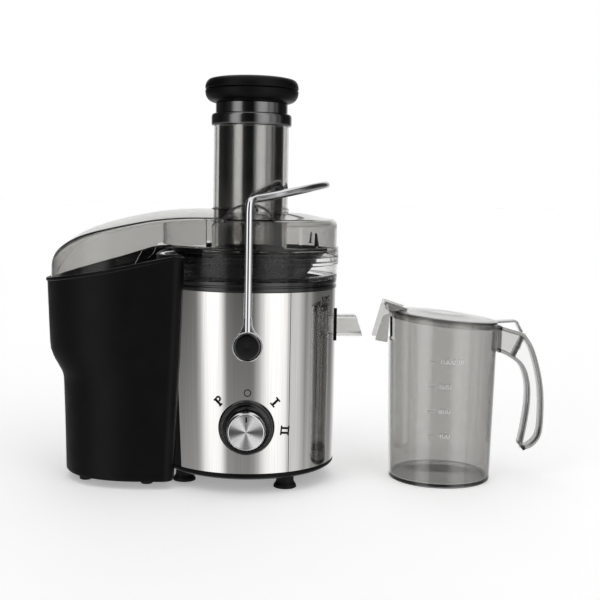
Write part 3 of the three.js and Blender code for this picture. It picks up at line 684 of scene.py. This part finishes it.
def build_saddles():
    for side, name in ((-1, "front"), (1, "rear")):
        turns = [math.pi * k / 32 for k in range(33)]
        arch = [(24 * math.cos(t), 259.4 + 17.2 * math.sin(t)) for t in turns]
        hollow = [(21.6 * math.cos(t), 259.4 + 14.8 * math.sin(t)) for t in turns]
        y0, y1 = (-84, -52) if side < 0 else (52, 84)
        # The saddles carry painted shade: their darker tint stands in for the dark outline that their edges
        # show.
        slab(f"saddle_{name}", arch + hollow[::-1], y0, y1, "smoke_plastic", "housing",
             [f"lid_saddle_{name}"], bevel=0.4, material=SMOKE_PAINTED_SHADE)


def build_throat():
    """The round chamber's wall inside the duct, which leaves an outlet for the pulp at the rear."""
    bottom, top = LID_WALL_Z + GAP, LID_EDGE_Z + 1
    profile = fillet([(85.8, bottom), (87.5, bottom), (87.5, top), (85.8, top)], 0.7)
    rows = []
    for k in range(49):
        turn = math.radians(176 + 66.5 * k / 48)
        rows.append([(r * math.cos(turn), r * math.sin(turn), z) for r, z in profile])
    verts, faces = grid(rows, False, True)
    count = len(profile)
    faces += [tuple(range(count)), tuple(range(len(verts) - 1, len(verts) - count - 1, -1))]
    piece("lid_throat", verts, faces, "clear_plastic", "housing")


def build_collector():
    floor, ledge = 147, COLLAR_Z[1] + GAP
    collector = revolve("collector_bowl", [
        (15, floor), (72, floor, 3), (75.4, 200), (75.4, ledge), (88.6, ledge), (88.9, 217), (89.8, 217.8),
        (89.8, 220.4), (89.1, 221), (89.8, 221.6), (89.8, SEAT_Z), (86, SEAT_Z), (85.7, 206.2, 2),
        (76, 205), (73, 200), (69.8, floor + 2.4, 3), (17, floor + 2.4), (17, 164), (15, 164)],
        "clear_plastic", "housing", ["juice_collector"], radius=0.35)
    half = 13
    side = ((71.5, 144.5), (115, 144.5), (108.5, 164.5), (71.5, 164.5))
    box = [(x, y, z) for y in (-half, half) for x, z in side]
    faces = [(0, 1, 2, 3), (7, 6, 5, 4), (0, 4, 5, 1), (1, 5, 6, 2), (2, 6, 7, 3), (3, 7, 4, 0)]
    spout = tool_mesh(box, faces)
    channel = [(x, y, z) for y in (-half + 2.2, half - 2.2)
               for x, z in ((66, 149.6), (80, 147), (124, 147), (124, 162.2), (66, 162.2))]
    faces = [(0, 1, 2, 3, 4), (9, 8, 7, 6, 5)] + [(k, (k + 1) % 5, 5 + (k + 1) % 5, 5 + k) for k in range(5)]
    boolean(spout, [tool_mesh(channel, faces)])
    boolean(collector, [tool_mesh(channel, faces)])
    spout.name = "collector_spout"
    dress(spout, "clear_plastic", "housing", material=SPOUT)
    round_edges(spout, 0.6)
    smooth(collector, 28)


def build_chute():
    bore = CHUTE_R - CHUTE_WALL
    revolve("chute_tube", [(bore, 195), (CHUTE_R, 195), (CHUTE_R, 268.3), (38.8, 268.5, 0.3),
                           (38.8, 271, 0.6), (CHUTE_R, 271.6, 0.3), (CHUTE_R, CHUTE_TOP), (bore, CHUTE_TOP)],
            "smoke_plastic", "housing", ["feed_chute"], radius=0.6, material=CHUTE)
    revolve("pusher_sleeve", [(0, 200), (32.4, 200, 3), (32.4, 375), (30.4, 375), (30.4, 202, 2), (0, 202)],
            "black_gloss", "pusher", ["pusher_tube"], material=SLEEVE)
    revolve("pusher_ring", [(32.9, 352.7), (39.4, 352.7, 1), (40.2, 354.5, 2), (40.2, 362.4, 2),
                            (39.2, 364.7, 1.4), (36.3, 364.7, 0.2), (36, 365.2, 0.5), (36, 375.2),
                            (32.9, 375.2)], "black_gloss", "pusher", ["pusher_collar"], material=COLLAR)
    revolve("cap_under", [(0, 375.5), (37, 375.5, 1), (42.5, 377.3, 4), (46, 382, 5), (46.6, 387.4, 1),
                          (45.6, 388.4, 0.4), (0, 388.4)], "black_matte", "pusher", ["pusher_cap_base"])
    revolve("cap_top", [(0, 388.7), (45.6, 388.7, 0.4), (46.6, 389.6, 1), (46.2, 394, 4), (43.5, 398.4, 4),
                        (36, 400.2, 8), (18, 400.9, 8), (0, 401)], "black_matte", "pusher", ["pusher_cap"])


def build_basket():
    revolve("basket_base", [(0, 170), (19, 170), (22, 178, 3), (41.5, 180.5, 1), (41.5, 186), (14, 186),
                            (0, 186)], "black_matte", "spinner", ["basket_hub"])
    revolve("sieve", [(39.3, 186.3), (41.1, 186.3), (76, 228), (74.2, 228)], "mesh_steel", "spinner",
            ["filter_mesh"], radius=0.2)
    revolve("basket_collar", [(73, 228.3), (78.6, 228.3), (78.6, 233), (73, 233)], "black_matte", "spinner",
            ["basket_rim"], radius=1)
    revolve("grater", [(0, 186.3), (38.6, 186.3), (38.6, 188.5), (0, 188.5)], "mesh_steel", "spinner",
            ["grater_disc"], radius=0.3)


# ---- locking arm ------------------------------------------------------------------------------
def build_arm():
    start = PIVOT_Z + 14
    half = [(0, -WIRE_Y, z) for z in (start, 180, 205, 230, 252, 264)]
    half += [(0.1, -95.2, 272), (1.0, -93.2, 278.2), (4.6, -88.6, 280.9), (12, -82, 282.4), (22, -74, 284.4),
             (34, -65.2, 287), (48, -52.6, 290), (60, -39.4, 292.8), (69, -26, 294.8), (74.3, -12, 295.8),
             (76, 0, 296)]
    path = spline(half + [(x, -y, z) for x, y, z in half[-2::-1]], 260)
    sweep("arm_rod", path, 3.9, "chrome", "arm", ["arm_wire"])
    build_hinge("front")
    for obj in build_hinge("rear"):
        mirror_rear(obj)


def build_hinge(end):
    """A cup that turns on the pivot pin, its cap, and the neck that holds the wire."""
    cup = [(0, 4.4), (5, 4.4), (5, 0), (13.6, 0, 0.6), (14.3, 1.2), (14.3, 8, 0.8), (13.6, 9.2, 0.5),
           (13.1, 9.2, 0.2), (12.9, 6.6), (0, 6.6)]
    ring = frontal(f"hub_{end}", cup, -90.6, PIVOT_Z, "chrome", "arm", [f"arm_hub_{end}"])
    cap = frontal(f"hub_cap_{end}", [(0, 0), (12.6, 0), (12.6, 2.2, 0.8), (11, 2.8, 0.8), (0, 3.0)], -97.3,
                  PIVOT_Z, "black_gloss", "arm", [f"arm_cap_{end}"])
    neck = [(-10.5, 8.5), (-7.5, 12.8, 3), (-4.6, 19, 4), (-3.9, 28, 3), (3.9, 28, 3), (4.6, 19, 4),
            (7.5, 12.8, 3), (10.5, 8.5)]
    fork = slab(f"hub_neck_{end}", [(x, z + PIVOT_Z) for x, z in fillet(neck, 1)], -98.6, -92.6, "chrome",
                "arm", bevel=1.6)
    return ring, cap, fork


def mirror_rear(obj):
    """Moves a piece of the front hinge to the rear one, by a half turn about the motor axis."""
    shift = Matrix.Translation(Vector((*AXIS, 0)) * MM)
    obj.data.transform(shift @ Matrix.Rotation(math.pi, 4, "Z") @ shift.inverted())


# ---- pulp container ---------------------------------------------------------------------------
# Height, half length, half depth and right edge of the container's plan outline.
LEVELS = [(8, 83.2, 73.5, -70.5), (60, 84.2, 76, -68.4), (100, 85.4, 78.4, -66.3), (106, 86.4, 78.8, -66),
          (113, 90.2, 79.2, -65.7), (122, 95.6, 79.8, -65.1), (130, 98.4, 80.4, -64.6),
          (138, 99.2, 80.8, -64.3), (170, 100.4, 82.4, -63), (230, 102.5, 86, -60.5)]
RIM = [(-215, 198), (-203, 199.6), (-141, 211), (-90, 222.4), (-74, 225.8), (-66, 226), (-58, 223.4),
       (-50, 219)]


RIM_CURVE = spline(RIM, 60)
OUTLINES = {}


def container_outline(z, inset):
    heights, *columns = zip(*LEVELS)
    a, b, right = (float(np.interp(z, heights, column)) - inset for column in columns)
    return horseshoe(a, b, right, 10, HUG_R + max(inset, 0))


def nearby_outline(z, inset):
    """The outline at a height rounded to half a millimetre, kept once it is made."""
    key = (round(z * 2) / 2, inset)
    if key not in OUTLINES:
        OUTLINES[key] = container_outline(*key)
    return OUTLINES[key]


def rim_height(x, y):
    """The rim climbs towards the body, and more steeply at the rear."""
    climb = 0.085 * max(0, min(x + 205, -1.6 * (x + 40)))
    return float(np.interp(x, RIM_CURVE[:, 0], RIM_CURVE[:, 1])) + climb * (y + 82) / 164


def container_rows(inset, bottom, top_drop, count):
    """Rows from the floor up to the sloping rim."""
    rows = []
    for k in range(count + 1):
        share = k / count
        row = []
        for i, (x, y) in enumerate(container_outline(bottom + share * (222 - bottom), inset)):
            z = bottom + share * (rim_height(x, y) - top_drop - bottom)
            x, y = nearby_outline(z, inset)[i]
            row.append((x, y, z))
        rows.append(row)
    return rows


def build_container():
    wall = 2.5
    outer = container_rows(0, 8, 3.4, 56)
    base = np.array(outer[0])
    middle = base.mean(0)
    foot = [[tuple(middle + (p - middle) * s + np.array([0, 0, lift])) for p in base]
            for s, lift in ((0.0, 0.5), (0.5, 0.5), (0.94, 0.3), (0.985, 0.0))]
    outer[0] = [tuple(p + np.array([0, 0, 1.2])) for p in base]
    bead = ((0.8, 3.0), (1.2, 2.4), (1.2, 0.6), (0.8, 0.1), (0.2, 0.0), (-1.6, 0.0), (-wall, 0.5))
    lip = [shell_row(out, drop) for out, drop in bead]
    inner = container_rows(wall, 10.6, 1.6, 30)[::-1]
    deep = np.array(inner[-1])
    centre = deep.mean(0)
    floor = [[tuple(centre + (p - centre) * s) for p in deep] for s in (0.97, 0.5, 0.0)]
    verts, faces = grid(foot + outer + lip + inner + floor, False, True)
    piece("pulp_bin", verts, faces, "black_matte", "container", ["pulp_container"], sharp=40)
    for i in range(1, 5):
        pad = f"container_pad_{i}"
        revolve(f"bin_pad_{i}", [(0, 0), (5.4, 0), (6.2, 1, 0.6), (7, 7.7), (0, 7.7)], "rubber", "container",
                [pad], centre=(middle_of(pad, 0), middle_of(pad, 1)), segments=48)


def shell_row(out, drop):
    """The rim's outline moved outwards by a distance and lowered from the rim's top."""
    row = []
    for i, (x, y) in enumerate(nearby_outline(214, -out)):
        z = rim_height(x, y) - drop
        x, y = nearby_outline(z, -out)[i]
        row.append((x, y, z))
    return row


# ---- jug ----------------------------------------------------------------------------------------
def jug_radius(z):
    return JUG_BASE_R + (JUG_TOP_R - JUG_BASE_R) * z / JUG_RIM_Z


def rim_plane(x):
    return JUG_RIM_Z - x * math.tan(JUG_TILT)


def build_jug():
    foot = 4.8
    rows = []
    for k in range(144):
        turn = 2 * math.pi * k / 144
        c, s = math.cos(turn), math.sin(turn)
        top = rim_plane(jug_radius(160) * c)
        heights = [foot + (top - foot) * j / 12 for j in range(13)]
        line = [(jug_radius(z), z) for z in heights]
        line += [(jug_radius(z) - JUG_WALL, z) for z in reversed(heights)]
        rows.append([(r * c, r * s, z) for r, z in line])
    verts, faces = grid(rows, True, True)
    jug = piece("jug_cup", verts, faces, "smoke_plastic", "jug", ["jug_body"], JUG)
    revolve("jug_floor", [(0, 0.8), (44, 0.8, 4), (47, 0, 1), (JUG_BASE_R - 1.2, 0), (JUG_BASE_R, 1.2),
                          (jug_radius(foot), foot - 0.1), (JUG_BASE_R - 3, foot - 0.1), (JUG_BASE_R - 4, 4),
                          (0, 4)], "smoke_plastic", "jug", centre=JUG, radius=0.6, material=HANDLE)
    mouth = HOOD_HALF + 0.3
    boolean(jug, [box_tool(-70, -40, -mouth, mouth, 142, 190, JUG)])
    smooth(jug)


def build_handle():
    """A hollow grip: a rib all round, a thin pane inside it, and a partition under the top block."""
    top = np.linspace((56.2, 157), (83.2, 149.5), 16)[:-1]
    outer = spline([(83.2, 149.5), (93, 133.7), (101.5, 105.6), (104.8, 78.6), (103.9, 47.6), (96.1, 34.1),
                    (85.4, 29.1)], 60)
    inner = spline([(55.6, 130.6), (66.2, 126.5), (79.8, 116), (86.2, 98.6), (87.1, 78.5), (84.5, 55),
                    (81, 35)], 60)
    far = np.vstack([top, outer])
    outline = [*map(tuple, far), *map(tuple, inner[::-1])]
    half = 7.4
    loops = [(outline, -half), (outline, half), (shrink(outline, 3.6), half), (shrink(outline, 3.6), -half)]
    ribs = piece("handle_rib", *grid([[(x, y, z) for x, z in loop] for loop, y in loops], True, True),
                 "smoke_plastic", "jug", ["jug_handle"], JUG, HANDLE)
    round_edges(ribs, 0.9)
    share = np.concatenate([np.linspace(0, 0.27, 15, endpoint=False), np.linspace(0.27, 1, 61)])
    near = np.array([inner[round(60 * u)] for u in share])
    handle_pane("handle_block", near[:16], far[:16], FINISHES["smoke_plastic"])
    handle_pane("handle_pane", near[16:], far[16:], FINISHES["clear_plastic"])
    partition = stroke((81.6, 145.5), (72.4, 125.6), 3.4)
    slab("handle_partition", partition, -6.4, 6.4, "smoke_plastic", "jug", centre=JUG, bevel=0.6,
         material=HANDLE)


def handle_pane(name, near, far, material):
    """A thin upright pane between two edges of equal counts, held by the rib."""
    rows = []
    for a, b in zip(near, far):
        along = (b - a) / np.linalg.norm(b - a) * 2.4
        corners = ((a + along, -1), (b - along, -1), (b - along, 1), (a + along, 1))
        rows.append([(x, y, z) for (x, z), y in corners])
    verts, faces = grid(rows, False, True)
    faces += [(0, 1, 2, 3), tuple(range(len(verts) - 1, len(verts) - 5, -1))]
    piece(name, verts, faces, "smoke_plastic", "jug", centre=JUG, material=material)


def shrink(points, distance):
    """Moves every corner of a closed outline inwards."""
    p = np.array(points, float)
    area = 0.5 * sum(p[i - 1][0] * p[i][1] - p[i][0] * p[i - 1][1] for i in range(len(p)))
    out = []
    for i in range(len(p)):
        along = p[(i + 1) % len(p)] - p[i - 1]
        along /= np.linalg.norm(along)
        out.append(tuple(p[i] + math.copysign(1, area) * distance * np.array([-along[1], along[0]])))
    return out


def tilted(obj):
    """Lays a piece made on z = 0 onto the jug's sloping rim."""
    place = Matrix.Translation(Vector((*JUG, JUG_RIM_Z)) * MM)
    back = Matrix.Translation(Vector((*JUG, 0)) * -MM)
    obj.data.transform(place @ Matrix.Rotation(JUG_TILT, 4, "Y") @ back)
    return obj


def build_jug_lid():
    plug = JUG_TOP_R - JUG_WALL - 0.6
    disc = [(0, 6.2), (30, 5.2, 20), (JUG_TOP_R - 2, 2.7, 2), (JUG_TOP_R, 2.2, 0.3), (JUG_TOP_R, 1.5),
            (plug, 1.5), (plug, -5), (plug - 2, -5), (plug - 2, 1.2), (30, 3.4, 10), (0, 4.2)]
    cover = revolve("jug_cover_disc", disc, "smoke_plastic", "jug_cover", ["jug_lid"], JUG, 0.3)
    tilted(cover)
    # Painted shade: a thin dark ring under the cover's edge stands in for the dark line along the jug's rim.
    inner, outer = plug + 0.2, JUG_TOP_R + 0.1
    edge = revolve("jug_cover_painted_shade_ring", [(inner, 0.3), (outer, 0.3), (outer, 1.3), (inner, 1.3)],
                   "smoke_plastic", "jug_cover", centre=JUG, radius=0.2, material=SMOKE_PAINTED_SHADE)
    tilted(edge)
    half = HOOD_HALF
    side = [(-37, 174), (-60, 181.3), (-70.6, 142.6), (-58, 140.4), (-56.4, 166.6), (-46, 170.4)]
    for name, y0, y1 in (("front", -half, HOOD_WALL - half), ("rear", half - HOOD_WALL, half)):
        slab(f"hood_cheek_{name}", fillet(side, 1.2), y0, y1, "smoke_plastic", "jug_cover", centre=JUG,
             bevel=0.4)
    roof = [(-39, 173.3), (-60, 181.2), (-61.2, 177.2), (-59.8, 178.6), (-39.4, 171.2)]
    slab("hood_roof", roof, -half + 1.6, half - 1.6, "smoke_plastic", "jug_cover", centre=JUG, bevel=0.3)
    tongue = [(49, 161.4), (56, 161.6), (74.5, 162.9, 1.5), (80.8, 151.6), (79.4, 150.9), (73.8, 161.2, 1.5),
              (57, 160), (49, 160)]
    slab("cover_tongue", fillet(tongue, 0.2), -8, 8, "smoke_plastic", "jug_cover", centre=JUG, bevel=0.4,
         material=HANDLE)


def build_scale():
    """Moulded level marks on the front of the jug, with plain numbers."""
    for level, z in ((400, 53), (600, 77.7), (800, 102.2), (1000, 126.9)):
        radius = jug_radius(z) + 0.02
        turn = math.radians(-19)
        text = bpy.data.curves.new("figures", "FONT")
        text.body = f"{level}" + ("ml" if level == 1000 else "")
        text.size = 8.2 * MM
        text.align_y = "CENTER"
        holder = bpy.data.objects.new("figures", text)
        figures = bpy.data.meshes.new_from_object(holder)
        bpy.data.objects.remove(holder)
        verts = [(v.co.x / MM + 7, v.co.y / MM) for v in figures.vertices]
        faces = [tuple(p.vertices) for p in figures.polygons]
        faces.append(tuple(range(len(verts), len(verts) + 4)))
        verts += stroke((-3.6, 0), (3.6, 0), 0.9)
        laid = []
        for x, v in verts:
            angle = turn + x / radius
            laid.append((radius * math.sin(angle), -radius * math.cos(angle), z + v))
        piece(f"level_mark_{level}", laid, faces, "smoke_plastic", "jug", centre=JUG, material=FAINT)


# ---- nodes that keep their own mesh -------------------------------------------------------------
def dress_nodes():
    slots = {part["node"]: part["material_slot"] for part in frame["record"]["subparts"]}
    for name, obj in frame["nodes"].items():
        obj.data.materials.clear()
        obj.data.materials.append(FINISHES[slots[name]])


# ---- stage --------------------------------------------------------------------------------------
YAW = math.radians(2.0)


def place_camera():
    data = bpy.data.cameras.new("camera")
    data.lens, data.sensor_width = 64.81, 36
    camera = bpy.data.objects.new("camera", data)
    turn = Matrix.Rotation(-YAW, 4, "Z") @ Matrix.Rotation(math.radians(90 - 5.558), 4, "X")
    place = Matrix.Translation(Vector((AXIS[0] + 13.4, AXIS[1] - 1094.1, 285.6)) * MM)
    camera.matrix_world = place @ turn @ Matrix.Rotation(math.radians(1.031), 4, "Z")
    bpy.context.scene.collection.objects.link(camera)
    bpy.context.scene.camera = camera


FLOOR_GLOW = 0.32


def seen_directly(tree):
    """One for rays straight from the camera, also through clear plastic, otherwise zero."""
    path = add_node(tree, "LightPath")
    either = math_node(tree, "MAXIMUM", path.outputs["Is Camera Ray"], path.outputs["Is Transmission Ray"])
    turned = math_node(tree, "ADD", path.outputs["Glossy Depth"], path.outputs["Diffuse Depth"])
    straight = math_node(tree, "LESS_THAN", turned, 0.5)
    return math_node(tree, "MULTIPLY", either, straight)


def build_floor():
    """A plain white table, left out of mirror reflections."""
    mesh = bpy.data.meshes.new("floor")
    mesh.from_pydata([(-30, -30, 0), (30, -30, 0), (30, 30, 0), (-30, 30, 0)], [], [(0, 1, 2, 3)])
    floor = bpy.data.objects.new("floor", mesh)
    finish = Finish("floor_white", (0.9, 0.9, 0.9), 0.9, Emission_Color=(1, 1, 1, 1))
    finish.vary_roughness(3, 0.02)
    glow = math_node(finish.tree, "MULTIPLY", seen_directly(finish.tree), FLOOR_GLOW)
    finish.tree.links.new(glow, finish.shader.inputs["Emission Strength"])
    path = add_node(finish.tree, "LightPath")
    mirrored = math_node(finish.tree, "GREATER_THAN", path.outputs["Glossy Depth"], 0.5)
    finish.mixed_with(add_node(finish.tree, "BsdfTransparent"), mirrored)
    mesh.materials.append(finish.made())
    bpy.context.scene.collection.objects.link(floor)


# Studio round the juicer: radiance by direction, in degrees from the front towards the jug.
STUDIO = (
    (-180, 1.0), (-163, 1.0), (-150, 0.08), (-96, 0.03), (-82, 0.07), (-70, 0.12), (-64, 0.5), (-57, 1.4),
    (-48, 1.75), (-41, 1.75), (-35, 1.45), (-27, 0.12), (-15, 0.03), (3, 0.02), (7, 0.06), (14, 0.5),
    (23, 1.4), (32, 1.75), (41, 1.7), (51, 1.4), (53, 0.7), (60, 0.8), (68, 0.85), (76, 0.45), (80, 0.2),
    (87, 0.4), (94, 0.1), (102, 0.03), (140, 0.06), (163, 1.0), (180, 1.0))
BRIGHTEST = 1.75
TOP_LIGHT = 1.1
TABLE_GLOW = 0.33


def studio_ring(tree, split):
    """The light that comes from round about, by direction."""
    front = math_node(tree, "MULTIPLY", split.outputs["Y"], -1)
    turn = math_node(tree, "ARCTAN2", split.outputs["X"], front)
    share = math_node(tree, "MULTIPLY_ADD", turn, 1 / (2 * math.pi), 0.5)
    ring = add_node(tree, "ValToRGB")
    stops = ring.color_ramp.elements
    while len(stops) < len(STUDIO):
        stops.new(0.5)
    for stop, (degrees, radiance) in zip(stops, STUDIO):
        stop.position = degrees / 360 + 0.5
        stop.color = (*[radiance / BRIGHTEST] * 3, 1)
    tree.links.new(share, ring.inputs["Fac"])
    below = map_range(tree, split.outputs["Z"], 0.0, -0.25).outputs["Result"]
    dimmed = math_node(tree, "MULTIPLY_ADD", below, -0.35 * BRIGHTEST, BRIGHTEST)
    glow = math_node(tree, "MULTIPLY", below, TABLE_GLOW)
    return math_node(tree, "MULTIPLY_ADD", ring.outputs["Color"], dimmed, glow)


def color_mix(tree, first, second, share):
    mix = add_node(tree, "Mix")
    mix.data_type = "RGBA"
    mix.inputs["B"].default_value = second
    tree.links.new(first, mix.inputs["A"])
    tree.links.new(share, mix.inputs["Factor"])
    return mix.outputs["Result"]


def build_world():
    """Two tall soft boxes in front, a grey panel on the right, white behind, and a light overhead."""
    world = bpy.data.worlds.new("studio")
    bpy.context.scene.world = world
    world.use_nodes = True
    tree = world.node_tree
    split = add_node(tree, "SeparateXYZ")
    tree.links.new(add_node(tree, "TexCoord").outputs["Generated"], split.inputs["Vector"])
    above = map_range(tree, split.outputs["Z"], 0.7, 0.86)
    above.interpolation_type = "SMOOTHSTEP"
    overhead = (TOP_LIGHT, TOP_LIGHT, TOP_LIGHT, 1)
    light = color_mix(tree, studio_ring(tree, split), overhead, above.outputs["Result"])
    seen = color_mix(tree, light, (1, 1, 1, 1), add_node(tree, "LightPath").outputs["Is Camera Ray"])
    tree.links.new(seen, tree.nodes["Background"].inputs["Color"])
    world.cycles.sampling_method = "MANUAL"
    world.cycles.sample_map_resolution = 1024


def build_stage():
    build_floor()
    build_world()
    view = bpy.context.scene.view_settings
    view.view_transform, view.look, view.exposure = "Standard", "None", 0.0


place_camera()
dress_nodes()
build_walls()
build_base()
build_marks()
build_dial()
build_collector()
build_lid()
build_saddles()
build_throat()
build_chute()
build_basket()
build_arm()
build_container()
build_jug()
build_handle()
build_jug_lid()
build_scale()
build_stage()
